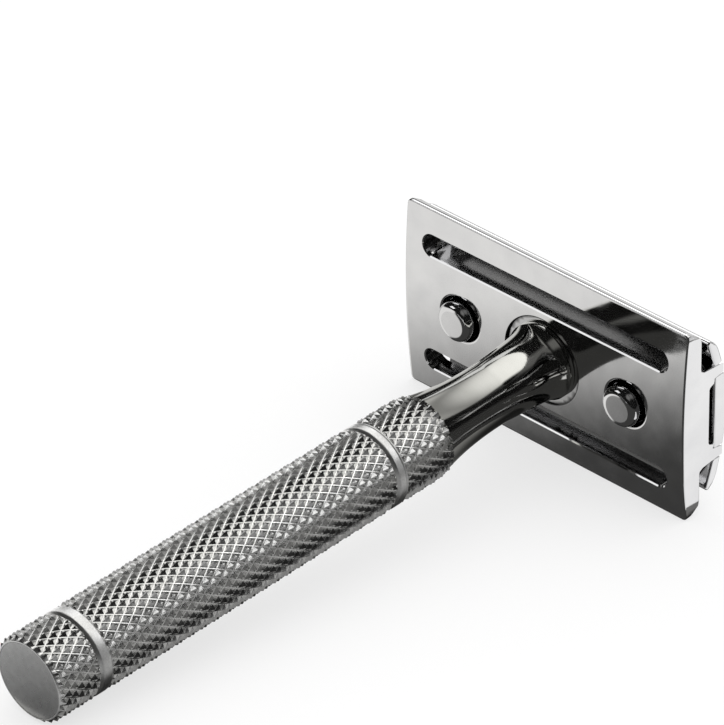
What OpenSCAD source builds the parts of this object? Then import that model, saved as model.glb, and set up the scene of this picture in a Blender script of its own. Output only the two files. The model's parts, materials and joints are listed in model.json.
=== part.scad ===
// Double-edge safety razor with a three-piece head and a knurled handle.
// The razor lies on the lower safety bar of its head and on the rim of its
// handle end. Every module is drawn along the handle's own axis (+Z from the
// end disc to the cap, +X along the blade) and laid down by resting().

/* [Head] */
// Length of the guard and the cap, along the blade
head_l = 44.4; // [44.2:0.1:45.2]
// Width of the guard over its two safety bars
head_w = 26.1; // [25.8:0.1:27]
// Height of the bow of the guard's underside, from its middle to the bars
guard_bow = 0.7; // [0.6:0.05:1.0]
// Height of the guard's channel floor above the middle of its underside
channel_h = 3.05; // [2.8:0.05:3.3]
// Height of the platform under the blade
platform_h = 4.6; // [4.5:0.02:4.66]
// Height of the cap's flat underside
cap_under_h = 5.5; // [5.4:0.02:5.6]
// Height of the top of the cap's crown
crown_h = 7.6; // [7.4:0.05:8.1]
// Distance between the cap's two long edges
cap_w = 21.0; // [20.8:0.1:21.2]
// Radius of the rounded shoulders between the crown and the cap's edges
crown_edge_r = 3; // [2.6:0.1:3.4]

/* [Guard openings] */
// Length of a lather slot, end to end
slot_l = 38.8; // [36:0.2:39.4]
// Width of a lather slot
slot_w = 2.9; // [2.6:0.1:3.2]
// Distance from the middle of the guard to the middle of a lather slot
slot_off = 8.2; // [8.1:0.05:8.4]
// Radius of the hole that a locating pin passes through
pin_hole_r = 3.1; // [2.95:0.05:3.2]
// Radius of the hole that the cap's stud passes through
stud_hole_r = 2.9; // [2.8:0.05:3.2]
// Radius of the round seat for the neck in the guard's underside
seat_r = 5.8; // [5.7:0.05:6.1]
// Depth of that seat
seat_d = 0.35; // [0.3:0.05:0.5]

/* [Blade] */
// Length of a standard double-edge blade
blade_l = 43; // [42.8:0.1:43]
// Width of the blade over its two edges
blade_w = 21.9; // [21.8:0.1:22]
// Thickness of the blade
blade_t = 0.1; // [0.1:0.01:0.12]
// Length of the cutting edges
edge_l = 37.4; // [36.6:0.2:38]
// Length of the blade's middle slot
blade_slot_l = 33.6; // [33:0.2:34]
// Width of that slot
blade_slot_w = 1.6; // [1.4:0.1:1.8]
// Width of the end tabs
tab_w = 13.4; // [12.6:0.2:13.6]
// Radius that the closed head bends the blade to
bend_r = 50; // [48:1:54]

/* [Cap fasteners] */
// Radius of the cap's threaded stud (M5)
stud_r = 2.5; // [2.5:0.5:2.5]
// Distance from the guard's underside to the stud's tip
stud_reach = 9.2; // [8.6:0.1:9.8]
// Radius of a locating pin
pin_r = 2.6; // [2.5:0.05:2.6]
// Distance between the two locating pins
pin_gap = 26.4; // [26:0.1:26.8]
// Length of a locating pin that shows under the guard
pin_out = 1.5; // [1.0:0.1:1.7]

/* [Handle] */
// Length of the handle from its end disc to the guard's underside
handle_l = 82.85; // [81:0.05:85]
// Radius of the knurled sections over their crests
knurl_r = 5.4; // [5.3:0.05:5.5]
// Radius of the plain bands
band_r = 5.3; // [5.2:0.05:5.3]
// Length of the knurled section at the handle's end
end_knurl_l = 5.75; // [5:0.05:7]
// Length of the plain band above it
end_band_l = 1.85; // [1.6:0.05:2.2]
// Length of the long knurled section
grip_knurl_l = 45; // [44:0.1:46]
// Length of the plain band above the long section
top_band_l = 1.7; // [1.6:0.05:2.2]
// Length of the knurled collar, without its share of the band
collar_knurl_l = 7.8; // [7.2:0.1:8.4]
// Radius of the end disc
disc_r = 4.7; // [4.4:0.05:4.8]

/* [Neck] */
// Radius of the neck where it leaves the knurled collar
neck_base_r = 4.95; // [4.8:0.05:5.0]
// Radius of the neck at its waist
neck_waist_r = 3.87; // [3.8:0.01:4]
// Radius of the neck's seating face
neck_seat_r = 4.95; // [4.8:0.05:5.1]

/* [Hidden] */
$fn = 96;

cut = 1;                                     // reach of an opening past the face it opens

// Stations along the handle's axis
rim = 0.3;                                   // chamfer at the handle's end
end_band_z = rim + end_knurl_l;              // lower plain band
sleeve_z = end_band_z + end_band_l;          // end cap meets grip sleeve
top_band_z = sleeve_z + grip_knurl_l;        // upper plain band
collar_z = top_band_z + 0.75 * top_band_l;   // grip sleeve meets collar
collar_knurl_z = top_band_z + top_band_l;
neck_z = collar_knurl_z + collar_knurl_l;    // collar meets neck
under_z = handle_l;                          // middle of the guard's underside
seat_gap = 0.03;                             // running gap under the guard
neck_top_z = under_z + seat_d - seat_gap;
groove = 0.3;                                // chamfer at each end of a knurled section
shoulder_l = 2.3;                            // rounded upper end of the collar
collar_end_r = neck_base_r + 0.2;            // a small step above the neck
spigot_r = 3.2;                              // spigot of the neck, inside the collar
spigot_l = 5;                                // its reach into the grip sleeve
spigot_z = collar_z - spigot_l;
rod_r = 2;
rod_z = 3;
rod_in_l = 11;                               // reach of the tie rod into the neck
rod_top_z = spigot_z + rod_in_l;
insert_r = 3.1;
insert_in_l = 11;                            // depth of the insert's foot under the guard
insert_floor = 0.5;                          // thickness of its closed foot
insert_z = under_z - insert_in_l;
insert_top_z = neck_top_z - 0.8;
thread_gap = 0.05;                           // radial running gap of the thread
sleeve_gap = 0.1;                            // radial gap round the tie rod in the sleeve
disc_t = 0.8;
stud_seat = 1.3;                             // depth of the stud in the cap
pin_seat = 0.7;                              // depth of a pin in the cap
stud_top_z = under_z + cap_under_h + stud_seat;

// Cap's profile: an arc over the top, tangent to a rounded shoulder at each
// side, which is tangent to the rounded lip that clamps the blade
lip_h = 4.2;                                 // height of the clamping lips
lip_round = 0.3;                             // radius of the lips
lip_angle = 28;                              // where a shoulder turns into its lip
lip_centre = [cap_w / 2 - lip_round, lip_h + lip_round];
edge_centre = lip_centre
    - (crown_edge_r - lip_round) * [cos(lip_angle), sin(lip_angle)];
edge_drop = edge_centre[1] - crown_h;
crown_r = (pow(crown_edge_r, 2) - pow(edge_centre[0], 2) - pow(edge_drop, 2))
    / (2 * (edge_drop + crown_edge_r));
crown_centre = [0, crown_h - crown_r];
crown_end = atan2(edge_centre[1] - crown_centre[1], edge_centre[0]);

// Resting angle: the lower bar and the handle's rim touch the same surface
bar_h = guard_bow + 0.35;                    // height of a bar's outermost point
rest_angle = atan((head_w / 2 - knurl_r) / (under_z + bar_h - rim));
rest_z = knurl_r * cos(rest_angle) - rim * sin(rest_angle);
front_y = (under_z + crown_h - crown_r) * cos(rest_angle) + crown_r;
back_y = -(knurl_r - rim) * sin(rest_angle);

module resting() {
    translate([0, -(front_y + back_y) / 2, rest_z])
        rotate([rest_angle - 90, 0, 0])
            children();
}

// Points on an arc of a circle, from one angle to another
function arc_points(centre, r, from, to, steps) =
    [for (i = [0:steps]) centre + r * [cos(from + (to - from) * i / steps),
                                       sin(from + (to - from) * i / steps)]];

// A half outline in [width, height] and its mirror image, as one outline
function both_sides(half) =
    concat(half, [for (i = [len(half) - 1:-1:0]) [-half[i][0], half[i][1]]]);

// Extrudes an outline in [width, height] along the blade, centred
module along_blade(length, outline) {
    rotate([90, 0, 90])
        linear_extrude(height = length, center = true)
            polygon(outline);
}

// A round solid from a half profile of [radius, height] points
module turned(profile) {
    rotate_extrude() polygon(profile);
}

// An upright hole with round ends, long along the blade
module obround(length, width, from, to) {
    translate([0, 0, from])
        linear_extrude(height = to - from) {
            square([length - width, width], center = true);
            for (side = [-1, 1])
                translate([side * (length - width) / 2, 0]) circle(d = width);
        }
}

// --- Guard ---------------------------------------------------------------

platform_w = 12.4;                           // width of the platform's flat top
flank_w = 14.2;                              // width at the foot of its flanks
bar_top_w = head_w - 3.4;                    // width at the bars' inner edges
bar_round = 0.35;                            // radius of a bar's outer edge
lug_t = 0.55;                                // thickness of a corner lug
lug_in = 4.0;                                // inner side of a lug
horn_in = 5.15;                              // inner side of the horn on a lug
horn_out = 6.5;                              // outer side of the horn and the lug
horn_top_h = crown_h - 0.6;                  // it stands just proud of the cap's notch
lug_taper = 0.3;                             // lean of a lug's inner side
lug_gap = 0.05;                              // gap between a lug and the cap
lug_top_h = cap_under_h - lug_gap;
channel_edge = [0.5, 0.12];                  // broken inner edge of a bar
platform_edge = [0.2, 0.3];                  // broken edge of the platform

module guard_section() {
    bar_edge = arc_points([head_w / 2 - bar_round, bar_h], bar_round, 0, 50, 4);
    along_blade(head_l, both_sides(concat(
        [[head_w / 2, -cut]],
        bar_edge,
        [[bar_top_w / 2 + channel_edge[0], channel_h - channel_edge[1]],
         [bar_top_w / 2, channel_h], [flank_w / 2, channel_h],
         [platform_w / 2 + platform_edge[0], platform_h - platform_edge[1]],
         [platform_w / 2, platform_h]])));
}

module corner_lug() {
    overlap = 0.7;
    translate([head_l / 2 - lug_t / 2, 0, 0])
        along_blade(lug_t, [[lug_in, platform_h - overlap], [lug_in, platform_h],
                            [lug_in + lug_taper, lug_top_h], [horn_in, lug_top_h],
                            [horn_in, horn_top_h], [horn_out, horn_top_h],
                            [horn_out, platform_h - overlap]]);
}

module guard_plate() {
    bow_r = (pow(head_w / 2, 2) + pow(guard_bow, 2)) / (2 * guard_bow);
    color("silver") resting() translate([0, 0, under_z])
        difference() {
            union() {
                intersection() {
                    guard_section();
                    translate([0, 0, bow_r])
                        rotate([0, 90, 0])
                            cylinder(r = bow_r, h = head_l + 2 * cut, center = true, $fn = 720);
                }
                for (flip_x = [0, 1], flip_y = [0, 1])
                    mirror([flip_x, 0, 0]) mirror([0, flip_y, 0]) corner_lug();
            }
            for (side = [-1, 1]) {
                translate([0, side * slot_off, 0])
                    obround(slot_l, slot_w, -cut, crown_h);
                translate([side * pin_gap / 2, 0, -cut])
                    cylinder(r = pin_hole_r, h = crown_h + cut);
            }
            translate([0, 0, -cut]) cylinder(r = stud_hole_r, h = crown_h + cut);
            translate([0, 0, -cut]) cylinder(r = seat_r, h = seat_d + cut);
        }
}

// --- Cap -----------------------------------------------------------------

flat_w = 12.6;                               // width of the cap's flat underside

module cap_section() {
    along_blade(head_l, both_sides(concat(
        [[flat_w / 2, cap_under_h], [lip_centre[0] - lip_round, lip_h]],
        arc_points(lip_centre, lip_round, -60, lip_angle, 6),
        arc_points(edge_centre, crown_edge_r, lip_angle + 6, crown_end, 8),
        arc_points(crown_centre, crown_r, crown_end + 2, 90, 9))));
}

module cap_plate() {
    notch_in = 5.0;                          // inner side of an end notch
    notch_out = 6.7;                         // outer side of an end notch
    notch_d = 0.8;                           // depth of an end notch
    notch_h = 2 * cap_under_h;
    color("silver") resting() translate([0, 0, under_z])
        difference() {
            cap_section();
            for (end = [-1, 1], side = [-1, 1])
                translate([end * head_l / 2, side * (notch_in + notch_out) / 2, notch_h / 2])
                    cube([2 * notch_d, notch_out - notch_in, notch_h], center = true);
            cylinder(r = stud_r, h = cap_under_h + stud_seat);
            for (side = [-1, 1])
                translate([side * pin_gap / 2, 0, 0])
                    cylinder(r = pin_r, h = cap_under_h + pin_seat);
        }
}

module cap_stud() {
    chamfer = 0.6;
    color("gainsboro") resting()
        turned([[0, under_z - stud_reach], [stud_r - chamfer, under_z - stud_reach],
                [stud_r, under_z - stud_reach + chamfer], [stud_r, stud_top_z],
                [0, stud_top_z]]);
}

module locating_pin(side) {
    edge = 0.8;
    tip_z = under_z - pin_out;
    top_z = under_z + cap_under_h + pin_seat;
    color("gainsboro") resting() translate([side * pin_gap / 2, 0, 0])
        turned(concat([[0, tip_z]],
                      arc_points([pin_r - edge, tip_z + edge], edge, -90, 0, 6),
                      [[pin_r, top_z], [0, top_z]]));
}

module locating_pin_left() { locating_pin(-1); }
module locating_pin_right() { locating_pin(1); }

// --- Blade ---------------------------------------------------------------

blade_crest_h = 5.1;                         // height of the bent blade's middle
blade_stud_r = 3.1;                          // radius of its middle opening
blade_pin_r = 2.85;                          // radius of its two pin openings

module blade_outline() {
    difference() {
        union() {
            square([edge_l, blade_w], center = true);
            square([blade_l, tab_w], center = true);
        }
        square([blade_slot_l, blade_slot_w], center = true);
        circle(r = blade_stud_r);
        for (side = [-1, 1])
            translate([side * pin_gap / 2, 0]) circle(r = blade_pin_r);
    }
}

module blade() {
    color("lightsteelblue") resting()
        translate([0, 0, under_z + blade_crest_h - bend_r])
            intersection() {
                translate([0, 0, bend_r - crown_h])
                    linear_extrude(height = crown_h + cut) blade_outline();
                rotate([0, 90, 0]) difference() {
                    cylinder(r = bend_r, h = blade_l + cut, center = true, $fn = 720);
                    cylinder(r = bend_r - blade_t, h = blade_l + 2 * cut, center = true,
                             $fn = 720);
                }
            }
}

// --- Neck ----------------------------------------------------------------

neck_waist = 0.54;                           // fraction of the neck's length at its waist
neck_slope = 0.6;                            // rise from the waist to the foot of the flare

// Radius of the neck at a fraction of its length: a curved taper to the waist,
// then a slow rise that ends in a sudden flare under the guard
function neck_radius(along) =
    along < neck_waist
        ? neck_waist_r + (neck_base_r - neck_waist_r) * pow(1 - along / neck_waist, 2.2)
        : let(up = (along - neck_waist) / (1 - neck_waist))
          neck_waist_r + neck_slope * pow(up, 1.2)
              + (neck_seat_r - neck_waist_r - neck_slope) * pow(up, 9);

module neck() {
    steps = 32;
    collar_h = 0.7;                          // straight collar under the guard
    flare_l = neck_top_z - collar_h - neck_z;
    color("gainsboro") resting() difference() {
        turned(concat(
            [[0, spigot_z], [spigot_r, spigot_z], [spigot_r, neck_z]],
            [for (i = [0:steps]) [neck_radius(i / steps), neck_z + flare_l * i / steps]],
            [[neck_seat_r, neck_top_z], [0, neck_top_z]]));
        translate([0, 0, insert_z]) cylinder(r = insert_r, h = insert_in_l + cut);
        translate([0, 0, spigot_z - cut]) cylinder(r = rod_r, h = rod_in_l + cut);
    }
}

module thread_insert() {
    color("goldenrod") resting() translate([0, 0, insert_z])
        difference() {
            cylinder(r = insert_r, h = insert_top_z - insert_z);
            translate([0, 0, insert_floor])
                cylinder(r = stud_r + thread_gap, h = insert_top_z - insert_z);
        }
}

// --- Handle --------------------------------------------------------------

// Half profile of a knurled barrel between two heights, chamfered at both ends
function knurled(from, to) =
    [[band_r - groove, from], [knurl_r, from + groove],
     [knurl_r, to - groove], [band_r - groove, to]];

module grip_collar() {
    steps = 8;
    shoulder_z = neck_z - shoulder_l;
    color("darkgray") resting() difference() {
        turned(concat(
            [[0, collar_z], [band_r, collar_z], [band_r, collar_knurl_z - groove],
             [band_r - groove, collar_knurl_z], [knurl_r, collar_knurl_z + groove]],
            [for (i = [0:steps])
                [collar_end_r + (knurl_r - collar_end_r) * pow(cos(90 * i / steps), 0.8),
                 shoulder_z + shoulder_l * i / steps]],
            [[0, neck_z]]));
        translate([0, 0, collar_z - cut]) cylinder(r = spigot_r, h = neck_z);
    }
}

module grip_sleeve() {
    color("darkgray") resting() difference() {
        turned(concat([[0, sleeve_z]], knurled(sleeve_z, top_band_z),
                      [[band_r, top_band_z + groove], [band_r, collar_z], [0, collar_z]]));
        translate([0, 0, sleeve_z - cut])
            cylinder(r = rod_r + sleeve_gap, h = spigot_z - sleeve_z + 2 * cut);
        translate([0, 0, spigot_z]) cylinder(r = spigot_r, h = spigot_l + cut);
    }
}

module tie_rod() {
    color("dimgray") resting() translate([0, 0, rod_z])
        cylinder(r = rod_r, h = rod_top_z - rod_z);
}

module end_cap() {
    color("darkgray") resting() difference() {
        turned([[0, 0], [knurl_r - rim, 0], [knurl_r, rim],
                [knurl_r, end_band_z - groove], [band_r - groove, end_band_z],
                [band_r, end_band_z + groove], [band_r, sleeve_z - groove],
                [band_r - groove, sleeve_z], [0, sleeve_z]]);
        translate([0, 0, rod_z]) cylinder(r = rod_r, h = sleeve_z);
        translate([0, 0, -cut]) cylinder(r = disc_r, h = disc_t + cut);
    }
}

module end_disc() {
    color("gainsboro") resting() cylinder(r = disc_r, h = disc_t);
}

guard_plate();
cap_plate();
cap_stud();
locating_pin_left();
locating_pin_right();
blade();
neck();
thread_insert();
grip_collar();
grip_sleeve();
tie_rod();
end_cap();
end_disc();
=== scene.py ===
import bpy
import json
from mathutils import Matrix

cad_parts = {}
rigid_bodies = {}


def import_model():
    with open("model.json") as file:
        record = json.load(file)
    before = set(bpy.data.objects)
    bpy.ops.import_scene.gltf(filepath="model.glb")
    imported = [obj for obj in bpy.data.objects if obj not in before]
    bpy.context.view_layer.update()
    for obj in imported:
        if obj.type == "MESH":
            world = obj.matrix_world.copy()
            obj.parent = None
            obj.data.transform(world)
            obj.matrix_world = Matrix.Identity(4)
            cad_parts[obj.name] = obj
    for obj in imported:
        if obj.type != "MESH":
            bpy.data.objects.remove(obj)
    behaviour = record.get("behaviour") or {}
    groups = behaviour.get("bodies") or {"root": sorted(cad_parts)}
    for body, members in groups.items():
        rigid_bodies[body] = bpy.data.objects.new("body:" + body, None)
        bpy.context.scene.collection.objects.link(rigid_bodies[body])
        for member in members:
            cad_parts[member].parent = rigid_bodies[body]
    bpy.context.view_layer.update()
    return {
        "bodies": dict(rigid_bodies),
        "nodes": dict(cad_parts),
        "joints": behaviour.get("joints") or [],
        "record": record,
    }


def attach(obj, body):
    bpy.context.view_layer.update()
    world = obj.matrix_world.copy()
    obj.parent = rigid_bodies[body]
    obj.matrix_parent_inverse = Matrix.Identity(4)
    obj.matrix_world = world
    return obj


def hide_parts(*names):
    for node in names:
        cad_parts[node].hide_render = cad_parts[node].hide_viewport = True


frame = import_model()

import json
import math

import bpy
import numpy as np
from mathutils import Matrix, Vector
from mathutils.geometry import delaunay_2d_cdt

# ---------------------------------------------------------------------------
# The razor's own frame: +Z runs along the handle from the end disc to the cap,
# +X along the blade, and lengths here are in millimetres.
# ---------------------------------------------------------------------------
MM = 0.001
RECORD = frame["record"]


def entry(kind, name):
    rows = RECORD[kind] if kind == "mounts" else frame[kind]
    return next(row for row in rows if row["name"] == name)


AXIS = -Vector(entry("joints", "handle_screw")["axis"]).normalized()
FOOT = Vector(entry("mounts", "end_face")["pos_m"])
SIDE = Vector((1, 0, 0))
LAID = Matrix.Translation(FOOT) @ Matrix(
    (SIDE, AXIS.cross(SIDE), AXIS)).transposed().to_4x4()

HANDLE_L = 82.85
SEAT_D = 0.35
SEAT_GAP = 0.03
KNURL_R = 5.4
BAND_R = 5.3
GROOVE = 0.3
RIM = 0.5
END_BAND_Z = 6.05
SLEEVE_Z = 7.9
TOP_BAND_Z = 52.9
COLLAR_Z = 54.175
COLLAR_KNURL_Z = 54.6
NECK_Z = 62.4
NECK_TOP_Z = HANDLE_L + SEAT_D - SEAT_GAP
SHOULDER_L = 2.3
SPIGOT_R = 3.2
SPIGOT_Z = COLLAR_Z - 5
ROD_R = 2.0
ROD_Z = 3.0
ROD_TOP_Z = SPIGOT_Z + 11
DISC_R = 4.7
DISC_T = 0.8
INSERT_R = 3.1
INSERT_Z = HANDLE_L - 11
STUD_R = 2.5
SCREW_PITCH = 0.8
PIN_GAP = 26.4
HEAD_L = 44.4
HEAD_W = 26.1

# ---------------------------------------------------------------------------
# Mesh making
# ---------------------------------------------------------------------------


def solid(name, points, faces, body, look, nodes, sharp=32, marks=None):
    """A piece from points in the razor's own frame; it rides on body and replaces nodes."""
    mesh = bpy.data.meshes.new(name)
    mesh.from_pydata((np.asarray(points, float) * MM).tolist(), [], faces)
    mesh.validate()
    for key, values in (marks or {}).items():
        mesh.attributes.new(key, "FLOAT", "POINT").data.foreach_set(
            "value", np.asarray(values, np.float32))
    mesh.polygons.foreach_set("use_smooth", [True] * len(mesh.polygons))
    mesh.set_sharp_from_angle(angle=math.radians(sharp))
    mesh.materials.append(look)
    obj = bpy.data.objects.new(name, mesh)
    bpy.context.scene.collection.objects.link(obj)
    obj.matrix_world = LAID
    even = obj.modifiers.new("even_normals", "WEIGHTED_NORMAL")
    even.keep_sharp = True
    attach(obj, body)
    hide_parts(*nodes)
    return obj


def arc(centre, radius, start, end, steps):
    """Points on an arc, angles in degrees."""
    turn = np.radians(np.linspace(start, end, steps + 1))
    return [(centre[0] + radius * math.cos(t), centre[1] + radius * math.sin(t))
            for t in turn]


def eased(corners, steps=4):
    """A polyline of (radius, height, rounding) corners with each corner rounded."""
    out = []
    last = len(corners) - 1
    for i, (r, z, ease) in enumerate(corners):
        here = Vector((r, z))
        if not ease or i in (0, last):
            out.append((r, z))
            continue
        to_prev = (Vector(corners[i - 1][:2]) - here)
        to_next = (Vector(corners[i + 1][:2]) - here)
        cut = min(ease, 0.45 * to_prev.length, 0.45 * to_next.length)
        start, end = here + to_prev.normalized() * cut, here + to_next.normalized() * cut
        for k in range(steps + 1):
            f = k / steps
            p = start.lerp(here, f).lerp(here.lerp(end, f), f)
            out.append((p.x, p.y))
    return out


def barrel(rows, segments, closed=False, flip=None):
    """Points and faces of a round solid. Each row is (radius, height) and perhaps how far
    each segment is turned from its even place. All three may be arrays with one value for
    each segment. flip(row, segment) says which way a quad is split."""
    even = np.linspace(0, 2 * math.pi, segments, endpoint=False)
    points, starts = [], []
    for r, z, *off in rows:
        starts.append(len(points))
        if np.ndim(r) == 0 and r == 0:
            points.append((0, 0, z))
            continue
        turn = even + (off[0] if off else 0)
        r, z = np.broadcast_to(r, turn.shape), np.broadcast_to(z, turn.shape)
        points += list(zip(r * np.cos(turn), r * np.sin(turn), z))
    sizes = np.diff(starts + [len(points)])
    faces = []
    count = len(rows)
    for k in range(count if closed else count - 1):
        low, high = k, (k + 1) % count
        for i in range(segments):
            j = (i + 1) % segments
            a, b = starts[low] + i, starts[low] + j
            c, d = starts[high] + j, starts[high] + i
            if sizes[low] == 1:
                faces.append((starts[low], c, d))
            elif sizes[high] == 1:
                faces.append((a, b, starts[high]))
            elif flip is None:
                faces.append((a, b, c, d))
            elif flip(k, i):
                faces += [(a, b, d), (b, c, d)]
            else:
                faces += [(a, b, c), (a, c, d)]
    return points, faces


def plate(rings, grid, inside, under, top):
    """Points and faces of a plate between two height fields over one flat outline.
    rings are closed lines that the triangles follow, grid is loose points, and inside
    says which places belong to the plate."""
    points, edges = [], []
    for ring in rings:
        base = len(points)
        points += [Vector(p) for p in ring]
        edges += [(base + i, base + (i + 1) % len(ring)) for i in range(len(ring))]
    points += [Vector(p) for p in grid]
    flat, _, triangles, *_ = delaunay_2d_cdt(points, edges, [], 0, 1e-5)
    flat = np.array([(p.x, p.y) for p in flat])
    triangles = np.array(triangles)
    middle = flat[triangles].mean(1)
    triangles = triangles[inside(middle[:, 0], middle[:, 1]) > 0]
    used, triangles = np.unique(triangles, return_inverse=True)
    triangles = triangles.reshape(-1, 3)
    flat = flat[used]
    x, y = flat.T
    count = len(flat)
    points = np.concatenate([np.column_stack([x, y, top(x, y)]),
                             np.column_stack([x, y, under(x, y)])])
    a, b, c = flat[triangles[:, 0]], flat[triangles[:, 1]], flat[triangles[:, 2]]
    turned = np.cross(b - a, c - a) < 0
    triangles[turned] = triangles[turned][:, ::-1]
    sides = np.concatenate([triangles[:, [0, 1]], triangles[:, [1, 2]], triangles[:, [2, 0]]])
    seen = {tuple(s) for s in sides.tolist()}
    rim = [s for s in seen if (s[1], s[0]) not in seen]
    faces = [tuple(t) for t in triangles.tolist()]
    faces += [(c + count, b + count, a + count) for a, b, c in triangles.tolist()]
    faces += [(b, a, a + count, b + count) for a, b in sorted(rim)]
    return points, faces


def ease_down(distance, radius):
    """How far a rounded edge has fallen, at a distance in from the wall."""
    left = radius - np.clip(distance, 0, radius)
    return radius - np.sqrt(np.maximum(radius ** 2 - left ** 2, 0))


def ring_steps(radius, extra=0.12):
    """Distances in from a wall that follow a rounded edge evenly."""
    return [radius * (1 - math.cos(math.radians(a))) for a in (0, 22.5, 45, 67.5, 90)] \
        + [radius + extra]


def from_obround(x, y, length, width):
    """Distance outside a slot with round ends that is centred on the origin."""
    reach = (length - width) / 2
    return np.hypot(x - np.clip(x, -reach, reach), y) - width / 2


def obround(centre, length, width, step):
    """The outline of a slot with round ends."""
    half, r = (length - width) / 2, width / 2
    around = max(10, int(math.pi * r / step))
    along = max(2, int(2 * half / step))
    line = arc((half, 0), r, -90, 90, around)[:-1]
    line += [(half - 2 * half * i / along, r) for i in range(along)]
    line += arc((-half, 0), r, 90, 270, around)[:-1]
    line += [(-half + 2 * half * i / along, -r) for i in range(along)]
    return [(centre[0] + x, centre[1] + y) for x, y in line]


def circle(centre, radius, step):
    count = max(24, int(2 * math.pi * radius / step))
    return arc(centre, radius, 0, 360 * (1 - 1 / count), count - 1)


def divided(line, step, least=1):
    """The points of a closed line with each stretch cut into even steps."""
    out = []
    for p, q in zip(line, line[1:] + line[:1]):
        cuts = max(least, int(math.dist(p, q) / step))
        out += [(p[0] + (q[0] - p[0]) * i / cuts, p[1] + (q[1] - p[1]) * i / cuts)
                for i in range(cuts)]
    return out


def rectangle(half_l, half_w, corner, step):
    """The outline of a rectangle with rounded corners, centred on the origin."""
    line = []
    for sx, sy, start in ((1, 1, 0), (-1, 1, 90), (-1, -1, 180), (1, -1, 270)):
        line += arc((sx * (half_l - corner), sy * (half_w - corner)), corner,
                    start, start + 90, 4)
    return divided(line, step)


# ---------------------------------------------------------------------------
# Materials
# ---------------------------------------------------------------------------


class Look:
    """A procedural metal, built node by node."""

    def __init__(self, name, colour, roughness, **fixed):
        self.material = bpy.data.materials.new(name)
        self.material.use_nodes = True
        self.tree = self.material.node_tree
        self.shader = next(n for n in self.tree.nodes if n.type == "BSDF_PRINCIPLED")
        self.set(self.shader, **{"Base Color": (*colour, 1), "Metallic": 1.0,
                                 "Roughness": roughness}, **fixed)
        self.place = self.node("ShaderNodeTexCoord").outputs["Object"]
        self.last_bump = None

    def set(self, node, **values):
        for key, value in values.items():
            node.inputs[key.replace("_", " ") if key not in node.inputs else key] \
                .default_value = value
        return node

    def node(self, kind, props=None, **values):
        made = self.tree.nodes.new(kind)
        for key, value in (props or {}).items():
            setattr(made, key, value)
        return self.set(made, **values)

    def link(self, a, b):
        self.tree.links.new(a, b)

    def stretched(self, scale):
        """The place on the piece, scaled unevenly, for grain that runs one way."""
        made = self.node("ShaderNodeMapping", Scale=scale)
        self.link(self.place, made.inputs["Vector"])
        return made.outputs["Vector"]

    def noise(self, scale, detail=2.0, rough=0.5, where=None):
        made = self.node("ShaderNodeTexNoise", Scale=scale, Detail=detail, Roughness=rough)
        self.link(where or self.place, made.inputs["Vector"])
        return made.outputs["Fac"]

    def rings(self, per_metre, detail=3.0):
        """Fine lines round the handle's axis, as a lathe leaves them."""
        parts = self.node("ShaderNodeSeparateXYZ")
        self.link(self.place, parts.inputs[0])
        flat = self.node("ShaderNodeCombineXYZ")
        self.link(parts.outputs[0], flat.inputs[0])
        self.link(parts.outputs[1], flat.inputs[1])
        out = self.node("ShaderNodeVectorMath", {"operation": "LENGTH"})
        self.link(flat.outputs[0], out.inputs[0])
        line = self.node("ShaderNodeCombineXYZ")
        self.link(out.outputs["Value"], line.inputs[0])
        self.link(parts.outputs[2], line.inputs[1])
        return self.noise(per_metre, detail, 0.7, line.outputs[0])

    def ramp(self, fac, low, high, to_low, to_high, clamp=True):
        made = self.node("ShaderNodeMapRange", {"clamp": clamp}, **{
            "From Min": low, "From Max": high, "To Min": to_low, "To Max": to_high})
        self.link(fac, made.inputs["Value"])
        return made.outputs["Result"]

    def math(self, kind, a, b):
        made = self.node("ShaderNodeMath", {"operation": kind})
        self.link(a, made.inputs[0])
        self.link(b, made.inputs[1])
        return made.outputs[0]

    def roughen(self, fac, low, high, span=(0.3, 0.7)):
        self.link(self.ramp(fac, *span, low, high, False), self.shader.inputs["Roughness"])

    def tint(self, fac, low, high, span=(0.3, 0.7)):
        mix = self.node("ShaderNodeMix", {"data_type": "RGBA"})
        mix.inputs[6].default_value = (*low, 1)
        mix.inputs[7].default_value = (*high, 1)
        self.link(self.ramp(fac, *span, 0, 1), mix.inputs[0])
        self.link(mix.outputs[2], self.shader.inputs["Base Color"])

    def paint_shade(self, mark, strength):
        """Paints shade: takes the colour down where a mark on the mesh says so."""
        mix = self.node("ShaderNodeMix", {"data_type": "RGBA"})
        colour = self.shader.inputs["Base Color"].links[0].from_socket
        self.link(self.ramp(self.mark(mark), 0, 1, 0, strength), mix.inputs[0])
        self.link(colour, mix.inputs[6])
        mix.inputs[7].default_value = (0, 0, 0, 1)
        self.link(mix.outputs[2], self.shader.inputs["Base Color"])

    def bump(self, fac, depth):
        made = self.node("ShaderNodeBump", Strength=1.0, Distance=depth)
        self.link(fac, made.inputs["Height"])
        if self.last_bump:
            self.link(self.last_bump, made.inputs["Normal"])
        self.last_bump = made.outputs["Normal"]
        self.link(self.last_bump, self.shader.inputs["Normal"])

    def mark(self, name):
        return self.node("ShaderNodeAttribute", {"attribute_name": name}).outputs["Fac"]


def chrome(name, wave, grain, darkest=(0.80, 0.80, 0.81), palest=(0.87, 0.87, 0.875)):
    look = Look(name, palest, 0.06)
    look.roughen(look.noise(420, 4), 0.045, 0.09)
    look.tint(look.noise(260, 3), darkest, palest)
    look.bump(look.noise(240, 1), wave)
    look.bump(look.noise(5200, 3), grain)
    return look


POLISHED = chrome("polished_chrome", 6e-6, 3e-7)
# Painted shade: the wall of the guard's seat ring is darkened almost to black in the colour.
POLISHED.paint_shade("seat_painted_shade", 0.93)

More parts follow.
